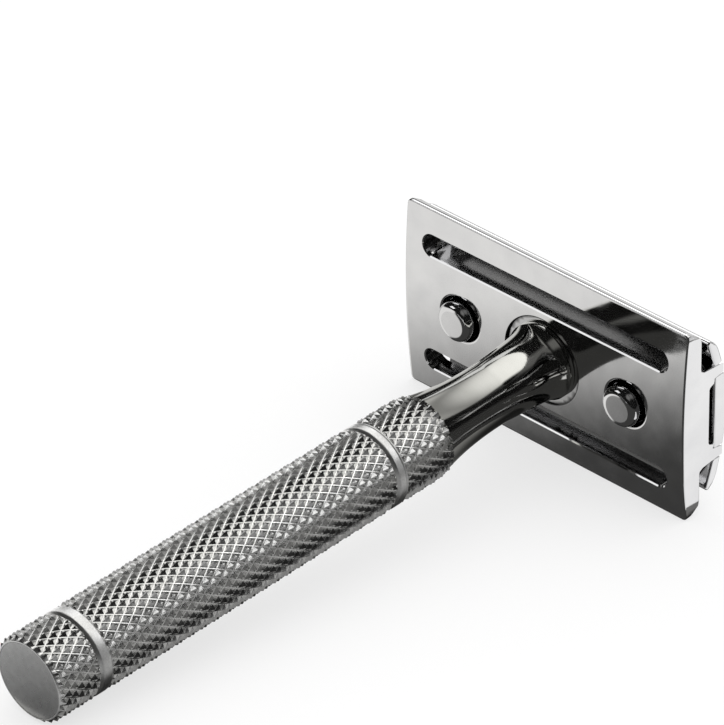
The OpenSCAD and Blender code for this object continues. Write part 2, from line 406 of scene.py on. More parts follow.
# Painted shade: the neck gets a darker, warmer copy of the polished chrome.
NECK_SHADED_LOOK = chrome("polished_neck_painted_shade", 4e-6, 3e-7, (0.64, 0.64, 0.61), (0.72, 0.72, 0.69))
NECK_SHADED_LOOK.bump(NECK_SHADED_LOOK.rings(2600), 1.2e-6)

SATIN = Look("satin_knurl", (0.80, 0.80, 0.79), 0.2)
SATIN.roughen(SATIN.math("ADD", SATIN.noise(2500, 4), SATIN.mark("plain")), 0.10, 0.18)
SATIN.tint(SATIN.noise(5200, 4, 0.6), (0.68, 0.68, 0.67), (0.90, 0.90, 0.89))
SATIN.bump(SATIN.noise(9000, 3, 0.6), 0.9e-5)

DISC_LOOK = Look("satin_disc", (0.46, 0.46, 0.455), 0.3)
DISC_LOOK.roughen(DISC_LOOK.noise(1500, 4), 0.25, 0.34)
DISC_LOOK.tint(DISC_LOOK.noise(900, 4), (0.42, 0.42, 0.415), (0.50, 0.50, 0.495))
DISC_LOOK.bump(DISC_LOOK.rings(9000), 4e-6)
DISC_LOOK.bump(DISC_LOOK.noise(12000, 2), 3e-6)

BLADE_LOOK = Look("blade_steel", (0.40, 0.40, 0.40), 0.25)
BLADE_LOOK.roughen(BLADE_LOOK.mark("ground"), 0.20, 0.36, (0, 1))
BLADE_LOOK.tint(BLADE_LOOK.mark("ground"), (0.33, 0.33, 0.33), (0.52, 0.52, 0.52), (0, 1))
BLADE_LOOK.bump(BLADE_LOOK.noise(60, 3, 0.6, BLADE_LOOK.stretched((400, 3, 3))), 2e-6)

ROD_LOOK = Look("core_steel", (0.45, 0.45, 0.46), 0.35)
ROD_LOOK.roughen(ROD_LOOK.noise(900, 3), 0.28, 0.42)
ROD_LOOK.bump(ROD_LOOK.rings(5000), 4e-6)

BRASS = Look("thread_brass", (0.78, 0.62, 0.33), 0.22)
BRASS.roughen(BRASS.noise(900, 3), 0.16, 0.3)
BRASS.tint(BRASS.noise(500, 3), (0.70, 0.54, 0.27), (0.82, 0.66, 0.37))
BRASS.bump(BRASS.rings(5000), 3e-6)

# ---------------------------------------------------------------------------
# Guard
# ---------------------------------------------------------------------------
BOW = 0.7
BAR_H = 1.05
CHANNEL_H = 3.05
PLATFORM_H = 4.6
LUG_TOP = 5.45
LUG_IN = 4.0
LUG_T = 0.55
LUG_TAPER = 0.3
LUG_BLEND = 0.03
HORN_BLEND = 0.02
HORN = (5.15, 6.5)
HORN_TOP = 7.0
SLOT_L, SLOT_W, SLOT_OFF = 38.8, 2.9, 8.2
PIN_HOLE_R = 3.1
STUD_HOLE_R = 2.9
SEAT_R = 5.8
EDGE_R = 0.16
SLOT_EDGE_R = 0.15
HOLE_EDGE_R = 0.14
SEAT_EDGE_R = 0.06
CORNER_R = 0.6


def guard_top_line():
    """The guard's upper section as heights over half its width, its corners softened."""
    section = [(0, PLATFORM_H), (6.2, PLATFORM_H), (6.4, PLATFORM_H - 0.3), (7.1, CHANNEL_H),
               (11.35, CHANNEL_H), (11.85, CHANNEL_H - 0.12)]
    section += arc((HEAD_W / 2 - 0.35, BAR_H), 0.35, 50, 0, 8)
    across = np.linspace(0, HEAD_W / 2, 1306)
    height = np.interp(across, *np.array(section).T)
    window = np.hanning(25)
    soft = np.convolve(np.pad(height, 12, mode="edge"), window / window.sum(), "valid")
    blend = np.clip((HEAD_W / 2 - 0.3 - across) / 0.2, 0, 1)
    return across, height + (soft - height) * blend


GUARD_LINE = guard_top_line()


def step(value, low, high):
    """A smooth rise from 0 at low to 1 at high; it falls if low is the larger."""
    f = np.clip((value - low) / (high - low), 0, 1)
    return f * f * (3 - 2 * f)


def guard_parts(x, y):
    """Distances in from the guard's outline, its slots, its pin holes and its stud hole."""
    px, py = np.abs(x), np.abs(y)
    qx, qy = px - (HEAD_L / 2 - CORNER_R), py - (HEAD_W / 2 - CORNER_R)
    outline = CORNER_R - np.hypot(np.maximum(qx, 0), np.maximum(qy, 0)) \
        - np.minimum(np.maximum(qx, qy), 0)
    return (outline,
            from_obround(px, py - SLOT_OFF, SLOT_L, SLOT_W),
            np.hypot(px - PIN_GAP / 2, y) - PIN_HOLE_R,
            np.hypot(x, y) - STUD_HOLE_R)


def guard_inside(x, y):
    """Distance in from the nearest edge of the guard; negative outside it."""
    return np.min(guard_parts(x, y), axis=0)


def guard_edges(x, y, thick):
    """How far the surface falls at the edges: rounded, and chamfered at the slots."""
    outline, slots, pins, stud = guard_parts(x, y)
    return ease_down(outline, EDGE_R) * np.clip(thick / (3 * EDGE_R), 0, 1) \
        + np.clip(SLOT_EDGE_R - slots, 0, None) + ease_down(pins, HOLE_EDGE_R) \
        + ease_down(stud, HOLE_EDGE_R)


def guard_heights(x, y):
    """The guard's lower and upper heights, with the lugs and horns at its ends."""
    bow = BOW * (y / (HEAD_W / 2)) ** 2
    line = np.interp(np.abs(y), *GUARD_LINE)
    aside = np.abs(y)
    lug = np.minimum((aside - LUG_IN) / LUG_TAPER, 1).clip(0) * (aside < HORN[1])
    horn = step(aside, HORN[0] - HORN_BLEND, HORN[0] + HORN_BLEND) \
        * step(aside, HORN[1] + HORN_BLEND, HORN[1] - HORN_BLEND)
    raised = np.where(lug > 0, PLATFORM_H + (LUG_TOP - PLATFORM_H) * lug, line)
    raised = raised + (HORN_TOP - raised) * horn
    inner = HEAD_L / 2 - LUG_T
    at_end = step(np.abs(x), inner - LUG_BLEND, inner + LUG_BLEND)
    return bow, line + (raised - line) * at_end


def guard_under(x, y):
    low, high = guard_heights(x, y)
    away = np.hypot(x, y) - SEAT_R
    seat = np.where(away < 0, SEAT_D - low, 0) * np.clip(-away / 0.02, 0, 1)
    seat += np.where(away >= 0, ease_down(away, SEAT_EDGE_R), 0)
    return HANDLE_L + low + seat + guard_edges(x, y, high - low)


def guard_top(x, y):
    low, high = guard_heights(x, y)
    return HANDLE_L + high - guard_edges(x, y, high - low)


def guard_plate():
    rings = []
    for d in ring_steps(EDGE_R):
        rings.append(rectangle(HEAD_L / 2 - d, HEAD_W / 2 - d, CORNER_R - d, 0.3))
    for d in ring_steps(SLOT_EDGE_R):
        for side in (-1, 1):
            rings.append(obround((0, side * SLOT_OFF), SLOT_L + 2 * d, SLOT_W + 2 * d, 0.3))
    for d in ring_steps(HOLE_EDGE_R):
        for side in (-1, 1):
            rings.append(circle((side * PIN_GAP / 2, 0), PIN_HOLE_R + d, 0.2))
        rings.append(circle((0, 0), STUD_HOLE_R + d, 0.3))
        rings.append(circle((0, 0), SEAT_R + d, 0.2))
    rings.append(circle((0, 0), SEAT_R - 0.02, 0.2))
    xs = np.linspace(-21.2, 21.2, 64)
    ys = np.linspace(-12.6, 12.6, 95)
    grid = [(x, y) for x in xs for y in ys]
    lug_x = HEAD_L / 2 - LUG_T + np.array([-0.12, -0.05, -0.03, 0, 0.03, 0.05, 0.12])
    lug_y = np.concatenate([[3.9, 4.0, 4.15, 4.3, 4.5, 4.8]]
                           + [np.array([-0.1, -0.02, 0, 0.02, 0.1]) + y for y in HORN]
                           + [[5.5, 5.8, 6.1]])
    grid += [(sx * x, sy * y) for sx in (-1, 1) for sy in (-1, 1)
             for x in lug_x for y in lug_y]
    grid = np.array(grid)
    outline, slots, pins, stud = guard_parts(*grid.T)
    seat = np.abs(np.hypot(*grid.T) - SEAT_R)
    free = (outline > EDGE_R + 0.16) & (slots > SLOT_EDGE_R + 0.2) \
        & (pins > HOLE_EDGE_R + 0.2) & (stud > HOLE_EDGE_R + 0.2) & (seat > 0.3)
    points, faces = plate(rings, grid[free], guard_inside, guard_under, guard_top)
    # Marks the seat ring's wall for the painted shade.
    seat_shade_mask = np.abs(np.hypot(points[:, 0], points[:, 1]) - SEAT_R) < 0.1
    return solid("guard_polished", points, faces, "guard",
                 POLISHED.material, ["guard_plate"], sharp=38, marks={"seat_painted_shade": seat_shade_mask})


# ---------------------------------------------------------------------------
# Cap with its stud and pins
# ---------------------------------------------------------------------------
CAP_W = 21.0
CAP_UNDER = 5.5
CROWN_H = 7.6
LIP_H, LIP_R, LIP_ANGLE = 4.2, 0.3, 28
SHOULDER_R = 3.0
CAP_END_R = 0.22
NOTCH = (5.0, 6.7)
NOTCH_D = 0.8
FLAT_HALF = 6.3
STUD_REACH = 9.2
PIN_R, PIN_OUT, PIN_EDGE_R = 2.6, 1.5, 0.8
PEG_TOP_Z = HANDLE_L + CAP_UNDER + 0.3


def cap_lines():
    """The cap's section: the upper and the lower heights over half its width."""
    lip = Vector((CAP_W / 2 - LIP_R, LIP_H + LIP_R))
    lean = Vector((math.cos(math.radians(LIP_ANGLE)), math.sin(math.radians(LIP_ANGLE))))
    shoulder = lip - (SHOULDER_R - LIP_R) * lean
    drop = shoulder.y - CROWN_H
    crown_r = (SHOULDER_R ** 2 - shoulder.x ** 2 - drop ** 2) / (2 * (drop + SHOULDER_R))
    crown = Vector((0, CROWN_H - crown_r))
    meet = math.degrees(math.atan2(shoulder.y - crown.y, shoulder.x))
    upper = arc(crown, crown_r, 90, meet, 14) + arc(shoulder, SHOULDER_R, meet, LIP_ANGLE, 10)[1:]
    upper += arc(lip, LIP_R, LIP_ANGLE, 0, 6)[1:]
    lower = [(0, CAP_UNDER), (FLAT_HALF - 0.1, CAP_UNDER), (FLAT_HALF + 0.1, CAP_UNDER - 0.02)]
    lower += arc(lip, LIP_R, -125, 0, 10)
    return np.array(upper), np.array(lower)


def cap_plate():
    upper, lower = cap_lines()
    ends = [HEAD_L / 2 - d for d in ring_steps(CAP_END_R)]
    depths = [HEAD_L / 2 - NOTCH_D - d for d in (0, 0.02, 0.06, 0.2)]
    half_x = sorted(set(np.linspace(0, 20.5, 22).tolist() + ends + depths))
    marks = [NOTCH[0] - d for d in (0.2, 0.06, 0.02, 0)]
    marks += [NOTCH[1] + d for d in (0, 0.02, 0.06, 0.2)]
    half_y = sorted(set(np.round(np.concatenate([
        np.linspace(0, 10, 26), upper[:, 0], lower[:, 0], marks]), 5).tolist()))
    half_y = [y for i, y in enumerate(half_y) if i == 0 or y - half_y[i - 1] > 0.004]
    xs = np.array([-x for x in half_x[:0:-1]] + half_x)
    ys = np.array([-y for y in half_y[:0:-1]] + half_y)
    x, y = (a.ravel() for a in np.meshgrid(xs, ys, indexing="ij"))
    high = np.interp(np.abs(y), *upper.T)
    low = np.interp(np.abs(y), *lower.T)
    end_fall = ease_down(HEAD_L / 2 - np.abs(x), CAP_END_R)
    beside = np.maximum(NOTCH[0] - np.abs(y), np.abs(y) - NOTCH[1])
    past = HEAD_L / 2 - NOTCH_D - np.abs(x)
    gap = np.where(past > 0, np.hypot(past, np.maximum(beside, 0)), beside)
    notch_fall = ease_down(np.maximum(gap, 0), 0.06)
    fall = np.minimum(end_fall + notch_fall, 0.48 * (high - low))
    points = np.concatenate([np.column_stack([x, y, HANDLE_L + high - fall]),
                             np.column_stack([x, y, HANDLE_L + low + fall])])
    count, wide = len(x), len(ys)
    middle_x, middle_y = (xs[:-1] + xs[1:]) / 2, (ys[:-1] + ys[1:]) / 2
    cells = {(i, j) for i in range(len(xs) - 1) for j in range(wide - 1)
             if not (abs(middle_x[i]) > HEAD_L / 2 - NOTCH_D
                     and NOTCH[0] < abs(middle_y[j]) < NOTCH[1])}
    faces = []
    for i, j in sorted(cells):
        a, b = i * wide + j, (i + 1) * wide + j
        corners = [a, b, b + 1, a + 1]
        faces.append(tuple(corners))
        faces.append(tuple(v + count for v in reversed(corners)))
        for (di, dj), (p, q) in (((0, -1), (a, b)), ((1, 0), (b, b + 1)),
                                 ((0, 1), (b + 1, a + 1)), ((-1, 0), (a + 1, a))):
            at_edge = abs(points[p][1]) >= CAP_W / 2 - 1e-6
            if (i + di, j + dj) not in cells and (di or not at_edge):
                faces.append((q, p, p + count, q + count))
    obj = solid("cap_polished", points, faces, "cap",
                POLISHED.material, ["cap_plate"], sharp=38)
    weld = obj.modifiers.new("closed_edge", "WELD")
    weld.merge_threshold = 1e-7
    bpy.context.view_layer.objects.active = obj
    obj.modifiers.move(1, 0)
    return obj


def thread(radius, pitch, depth, turn, height):
    """Radius of a right-handed screw thread with narrow crests and roots."""
    wave = (height / pitch - turn) % 1.0
    tooth = np.clip(np.abs(2 * wave - 1) * 1.35 - 0.175, 0, 1)
    return radius - depth * tooth


def cap_stud():
    segments = 48
    tip, top = HANDLE_L - STUD_REACH, PEG_TOP_Z
    turn = np.arange(segments) / segments
    rows = [(0, tip), (1.5, tip), (1.9, tip + 0.1)]
    for z in np.arange(tip + 0.15, top - 0.6, 0.08):
        line = thread(STUD_R, SCREW_PITCH, 0.46, turn, z)
        line = np.minimum(line, 1.9 + (z - tip - 0.1) * 1.0)
        rows.append((line, z))
    rows += [(2.05, top - 0.55), (2.05, top), (0, top)]
    points, faces = barrel(rows, segments)
    return solid("stud_threaded", points, faces, "cap",
                 STUD_LOOK.material, ["cap_stud"], sharp=50)


def locating_pin(side):
    tip, top = HANDLE_L - PIN_OUT, PEG_TOP_Z
    dome = PIN_R - PIN_EDGE_R
    rows = [(0, tip), (dome - 0.12, tip)]
    rows += arc((dome, tip + PIN_EDGE_R), PIN_EDGE_R, -90, 0, 8)
    rows += [(PIN_R, top - 0.6), (PIN_R, top), (0, top)]
    points, faces = barrel(rows, 64)
    points = [(x + side * PIN_GAP / 2, y, z) for x, y, z in points]
    label = "left" if side < 0 else "right"
    return solid(f"pin_{label}", points, faces, "cap",
                 PIN_LOOK.material, [f"locating_pin_{label}"], sharp=50)


STUD_LOOK = chrome("chromed_stud", 2e-6, 4e-7)
PIN_LOOK = chrome("chromed_pin", 3e-6, 4e-7)

# ---------------------------------------------------------------------------
# Blade
# ---------------------------------------------------------------------------
BLADE_L, BLADE_W, BLADE_T = 43.0, 21.9, 0.1
BLADE_EDGE_L, TAB_W = 37.4, 13.4
BLADE_CREST, BEND_R = 5.1, 50.0
BLADE_STUD_R, BLADE_PIN_R = 3.1, 2.85
BLADE_SLOT = (33.6, 1.6)
GROUND_W = 0.9
BLADE_STEP = 0.6


def blade_inside(x, y):
    px, py = np.abs(x), np.abs(y)
    body = np.minimum(BLADE_EDGE_L / 2 - px, BLADE_W / 2 - py)
    tab = np.minimum(BLADE_L / 2 - px, TAB_W / 2 - py)
    holes = np.minimum(np.hypot(x, y) - BLADE_STUD_R,
                       np.hypot(px - PIN_GAP / 2, y) - BLADE_PIN_R)
    slot = np.maximum(px - BLADE_SLOT[0] / 2, py - BLADE_SLOT[1] / 2)
    return np.minimum(np.maximum(body, tab), np.minimum(holes, slot))


def blade_sheet(side):
    """The height of the bent blade's upper (1) or lower (-1) face, ground to its edge."""
    def height(x, y):
        bent = np.sqrt(BEND_R ** 2 - y ** 2) - BEND_R
        edge = np.where(np.abs(x) < BLADE_EDGE_L / 2 + 0.01, BLADE_W / 2 - np.abs(y), 9)
        half = BLADE_T / 2 * np.clip(0.06 + edge / GROUND_W, 0, 1)
        return HANDLE_L + BLADE_CREST - BLADE_T / 2 + bent + side * half
    return height


def blade():
    half_w, half_tab = BLADE_W / 2, TAB_W / 2
    notch = [(BLADE_EDGE_L / 2, half_w), (BLADE_EDGE_L / 2, half_tab),
             (BLADE_L / 2 - 0.5, half_tab), (BLADE_L / 2, half_tab - 0.5)]
    corners = notch + [(x, -y) for x, y in reversed(notch)]
    corners += [(-x, y) for x, y in reversed(corners)]
    rings = [divided(corners, BLADE_STEP), circle((0, 0), BLADE_STUD_R, 0.3)]
    rings += [circle((side * PIN_GAP / 2, 0), BLADE_PIN_R, 0.3) for side in (-1, 1)]
    slot_x, slot_y = BLADE_SLOT[0] / 2, BLADE_SLOT[1] / 2
    hole = [(slot_x, slot_y), (-slot_x, slot_y), (-slot_x, -slot_y), (slot_x, -slot_y)]
    rings.append(divided(hole, BLADE_STEP, 2))
    ys = np.concatenate([np.linspace(-10, 10, 41), [-half_w + GROUND_W, half_w - GROUND_W,
                                                    -half_w + 0.4, half_w - 0.4]])
    grid = np.array([(x, y) for x in np.linspace(-21.2, 21.2, 72) for y in ys])
    inner = blade_inside(*grid.T) > 0.2
    points, faces = plate(rings, grid[inner], blade_inside, blade_sheet(-1), blade_sheet(1))
    away = BLADE_W / 2 - np.abs(points[:, 1])
    ground = np.where(np.abs(points[:, 0]) < BLADE_EDGE_L / 2 + 0.01,
                      1 - step(away, GROUND_W - 0.1, GROUND_W + 0.1), 0)
    return solid("blade_bent", points, faces, "blade", BLADE_LOOK.material,
                 ["blade"], sharp=30, marks={"ground": ground})


# ---------------------------------------------------------------------------
# Neck and the insert in it
# ---------------------------------------------------------------------------
NECK_BASE_R, NECK_WAIST_R, NECK_SEAT_R = 4.95, 3.87, 4.95
NECK_WAIST, NECK_SLOPE = 0.54, 0.6
NECK_COLLAR_H = 0.7


def neck_radius(along):
    """The neck's radius at a fraction of its length, from the collar to the flare."""
    if along < NECK_WAIST:
        return NECK_WAIST_R + (NECK_BASE_R - NECK_WAIST_R) * (1 - along / NECK_WAIST) ** 2.2
    up = (along - NECK_WAIST) / (1 - NECK_WAIST)
    return NECK_WAIST_R + NECK_SLOPE * up ** 1.2 \
        + (NECK_SEAT_R - NECK_WAIST_R - NECK_SLOPE) * up ** 9


def neck():
    flare = NECK_TOP_Z - NECK_COLLAR_H - NECK_Z
    rows = [(ROD_R, SPIGOT_Z), (SPIGOT_R - 0.2, SPIGOT_Z), (SPIGOT_R, SPIGOT_Z + 0.2),
            (SPIGOT_R, NECK_Z)]
    rows += [(neck_radius(f), NECK_Z + flare * f)
             for f in 1 - (1 - np.linspace(0, 1, 90)) ** 1.5]
    top = NECK_TOP_Z
    rows += [(NECK_SEAT_R, top - 0.62), (NECK_SEAT_R - 0.07, top - 0.58),
             (NECK_SEAT_R - 0.07, top - 0.50), (NECK_SEAT_R, top - 0.46),
             (NECK_SEAT_R, top - 0.1), (NECK_SEAT_R - 0.03, top - 0.03),
             (NECK_SEAT_R - 0.1, top), (INSERT_R, top), (INSERT_R, INSERT_Z),
             (0.4, INSERT_Z), (0.4, ROD_TOP_Z), (ROD_R, ROD_TOP_Z)]
    points, faces = barrel(rows, 160, closed=True)
    return solid("neck_polished", points, faces, "handle",
                 NECK_SHADED_LOOK.material, ["neck"], sharp=40)


def thread_insert():
    segments = 48
    low, high = INSERT_Z, NECK_TOP_Z - 0.8
    turn = np.arange(segments) / segments
    rows = [(0, low), (INSERT_R - 0.1, low), (INSERT_R - 0.01, low + 0.1),
            (INSERT_R - 0.01, high - 0.1), (INSERT_R - 0.1, high), (2.75, high),
            (2.62, high - 0.15)]
    for z in np.arange(high - 0.2, low + 0.8, -0.1):
        rows.append((thread(STUD_R + 0.08, SCREW_PITCH, 0.4, turn, z), z))
    rows += [(2.15, low + 0.6), (0, low + 0.5)]
    points, faces = barrel(rows, segments)
    return solid("insert_threaded", points, faces, "handle",
                 BRASS.material, ["thread_insert"], sharp=50)


# ---------------------------------------------------------------------------
# Handle
# ---------------------------------------------------------------------------
STARTS = 27
PITCH = 1.92
CUTS = 12
DEPTH = 0.456
GROOVE_FLAT = 0.095
CREST_WEAR = 1.06
GATHER = 0.45
PLAIN_MARK = 0.9
SEGMENTS = STARTS * CUTS


def gathered(place, pull):
    """Moves mesh lines towards the grooves, which lie at the whole numbers."""
    return place - pull * np.sin(2 * np.pi * place) / (2 * np.pi)


def knurl_rows(low, high, crest, envelope):
    """Rows of a diamond knurl between two heights, cut back to an envelope. crest gives the
    radius over the diamonds, and each one is a four-sided pyramid with a worn point."""
    turn = np.arange(SEGMENTS) / CUTS
    heights = list(np.arange(low, high - 1e-6, PITCH / CUTS))
    for extra in (low + GROOVE * 0.5, low + GROOVE, high - GROOVE, high - GROOVE * 0.5, high):
        heights = [h for h in heights if abs(h - extra) > 0.05 or h == low] + [extra]
    rows, first = [], []
    for height in sorted(heights):
        up = (height - low) / PITCH
        pull = GATHER * min(1, (height - low) / 0.4, (high - height) / 0.4)
        right, left = gathered(turn + up, pull), gathered(turn - up, pull)
        z = low + PITCH * (right - left) / 2
        off = ((right + left) / 2 - turn) * 2 * np.pi / STARTS
        across = np.maximum(np.abs(2 * (right % 1) - 1), np.abs(2 * (left % 1) - 1))
        tall = np.clip(CREST_WEAR * (1 - across / (1 - GROOVE_FLAT)), 0, 1)
        rows.append((np.minimum(crest(z) - DEPTH * (1 - tall), envelope(z)), z, off))
        first.append(round(up * CUTS))
    return rows, first


def chamfered(low, high, upper=True):
    """The radius that a chamfer leaves at one or both ends of a knurled section."""
    def radius(z):
        near = np.minimum(z - low, high - z) if upper else z - low
        return BAND_R - GROOVE + (KNURL_R - BAND_R + GROOVE) * np.minimum(1, near / GROOVE)
    return radius


def shoulder(z):
    """Radius over the diamonds of the collar, which rounds down to the neck."""
    along = np.clip((z - NECK_Z + SHOULDER_L) / SHOULDER_L, 0, 1)
    end = NECK_BASE_R + 0.2
    return end + (KNURL_R - end) * np.cos(math.radians(90) * along).clip(0) ** 0.8


def grip(name, node, before, knurl, after):
    """A knurled piece from plain rows, knurled rows and plain rows."""
    rows, first = knurl

    def flip(k, i):
        row = k - len(before)
        if not 0 <= row < len(first):
            return False
        right, left = (first[row] + i + 1) / CUTS, (i - first[row]) / CUTS
        return abs(2 * (right % 1) - 1) > abs(2 * (left % 1) - 1)

    points, faces = barrel(before + rows + after, SEGMENTS, closed=True, flip=flip)
    plain = np.full(len(points), PLAIN_MARK)
    plain[len(before) * SEGMENTS:(len(before) + len(rows)) * SEGMENTS] = 0
    return solid(name, points, faces, "handle", SATIN.material, [node],
                 sharp=24, marks={"plain": plain})


def end_cap():
    knurl = knurl_rows(RIM, END_BAND_Z, lambda z: KNURL_R,
                       chamfered(RIM - GROOVE, END_BAND_Z))
    before = [(DISC_R + 0.02, DISC_T), (DISC_R + 0.02, 0.02), (DISC_R + 0.04, 0.0),
              (KNURL_R - RIM - 0.12, 0.0), (KNURL_R - RIM - 0.04, 0.01),
              (KNURL_R - RIM, 0.05)]
    after = eased([(BAND_R - GROOVE, END_BAND_Z + 0.01, 0), (BAND_R, END_BAND_Z + GROOVE, 0.12),
                   (BAND_R, SLEEVE_Z - GROOVE, 0.12), (BAND_R - GROOVE, SLEEVE_Z, 0)])
    after += [(ROD_R, SLEEVE_Z), (ROD_R, ROD_Z), (1.2, ROD_Z - 0.1), (1.2, DISC_T)]
    return grip("end_piece_knurled", "end_cap", before, knurl, after)


def grip_sleeve():
    knurl = knurl_rows(SLEEVE_Z, TOP_BAND_Z, lambda z: KNURL_R,
                       chamfered(SLEEVE_Z, TOP_BAND_Z))
    before = [(SPIGOT_R, SPIGOT_Z), (ROD_R + 0.1, SPIGOT_Z), (ROD_R + 0.1, SLEEVE_Z),
              (BAND_R - GROOVE - 0.05, SLEEVE_Z)]
    after = eased([(BAND_R - GROOVE, TOP_BAND_Z + 0.01, 0), (BAND_R, TOP_BAND_Z + GROOVE, 0.12),
                   (BAND_R, COLLAR_Z - 0.05, 0.04), (BAND_R - 0.07, COLLAR_Z, 0)])
    after += [(SPIGOT_R, COLLAR_Z)]
    return grip("grip_knurled", "grip_sleeve", before, knurl, after)


def grip_collar():
    knurl = knurl_rows(COLLAR_KNURL_Z, NECK_Z, shoulder,
                       chamfered(COLLAR_KNURL_Z, NECK_Z, upper=False))
    before = [(SPIGOT_R, COLLAR_Z)]
    before += eased([(BAND_R - 0.07, COLLAR_Z + 0.01, 0), (BAND_R, COLLAR_Z + 0.07, 0.04),
                     (BAND_R, COLLAR_KNURL_Z - GROOVE * 0.6, 0.1),
                     (BAND_R - GROOVE, COLLAR_KNURL_Z - 0.01, 0)])
    after = [(SPIGOT_R, NECK_Z)]
    return grip("collar_knurled", "grip_collar", before, knurl, after)


def end_disc():
    rows = eased([(0, 0.02, 0), (DISC_R - 0.03, 0.02, 0.01), (DISC_R, 0.05, 0.01),
                  (DISC_R, DISC_T, 0), (0, DISC_T, 0)])
    rows = [(0, 0.02)] + [(r, 0.02) for r in (1.0, 2.0, 3.0, 3.9)] + rows[1:]
    points, faces = barrel(rows, 144)
    return solid("disc_turned", points, faces, "handle", DISC_LOOK.material,
                 ["end_disc"], sharp=40)


def tie_rod():
    low, high = ROD_Z, ROD_TOP_Z
    r = ROD_R - 0.01
    rows = eased([(0, low, 0), (r - 0.3, low, 0.1), (r, low + 0.3, 0.1), (r, high - 0.3, 0.1),
                  (r - 0.3, high, 0.1), (0, high, 0)])
    points, faces = barrel(rows, 48)
    return solid("rod_turned", points, faces, "handle", ROD_LOOK.material,
                 ["tie_rod"], sharp=40)


head_pieces = [guard_plate(), cap_plate(), locating_pin(-1), locating_pin(1)]
cap_stud()
blade()
neck()
thread_insert()
tie_rod()
grip_pieces = [grip_collar(), grip_sleeve(), end_cap()]
end_disc()

# ---------------------------------------------------------------------------
# Floor, light and camera
# ---------------------------------------------------------------------------


def floor():
    mesh = bpy.data.meshes.new("floor")
    half = 3.0
    mesh.from_pydata([(-half, -half, 0), (half, -half, 0), (half, half, 0), (-half, half, 0)],
                     [], [(0, 1, 2, 3)])
    look = bpy.data.materials.new("pale_floor")
    look.use_nodes = True
    shader = look.node_tree.nodes["Principled BSDF"]
    shader.inputs["Base Color"].default_value = (0.33, 0.33, 0.33, 1)
    shader.inputs["Emission Color"].default_value = (1, 1, 1, 1)
    shader.inputs["Emission Strength"].default_value = 0.66
    shader.inputs["Roughness"].default_value = 0.9
    shader.inputs["Specular IOR Level"].default_value = 0.1
    mesh.materials.append(look)
    obj = bpy.data.objects.new("floor", mesh)
    bpy.context.scene.collection.objects.link(obj)
    obj.visible_glossy = False


class Sky:
    """The studio round the razor, as brightness over direction."""

    def __init__(self):
        world = bpy.data.worlds.new("studio")
        bpy.context.scene.world = world
        world.use_nodes = True
        self.tree = world.node_tree
        self.tree.nodes.clear()
        coord = self.tree.nodes.new("ShaderNodeTexCoord")
        parts = self.tree.nodes.new("ShaderNodeSeparateXYZ")
        self.tree.links.new(coord.outputs["Generated"], parts.inputs[0])
        self.x, self.y, self.z = parts.outputs

    def math(self, kind, *values):
        made = self.tree.nodes.new("ShaderNodeMath")
        made.operation = kind
        for socket, value in zip(made.inputs, values):
            if isinstance(value, (int, float)):
                socket.default_value = value
            else:
                self.tree.links.new(value, socket)
        return made.outputs[0]

    def rise(self, value, low, high, to_low=0.0, to_high=1.0):
        made = self.tree.nodes.new("ShaderNodeMapRange")
        made.interpolation_type = "SMOOTHSTEP"
        for key, number in (("From Min", low), ("From Max", high),
                            ("To Min", to_low), ("To Max", to_high)):
            made.inputs[key].default_value = number
        self.tree.links.new(value, made.inputs["Value"])
        return made.outputs["Result"]

    def mix(self, *weights):
        """A weighted sum of the three directions."""
        parts = [self.math("MULTIPLY", axis, weight)
                 for axis, weight in zip((self.x, self.y, self.z), weights)]
        return self.total(*parts)

    def product(self, *values):
        out = values[0]
        for value in values[1:]:
            out = self.math("MULTIPLY", out, value)
        return out

    def total(self, *values):
        out = values[0]
        for value in values[1:]:
            out = self.math("ADD", out, value)
        return out


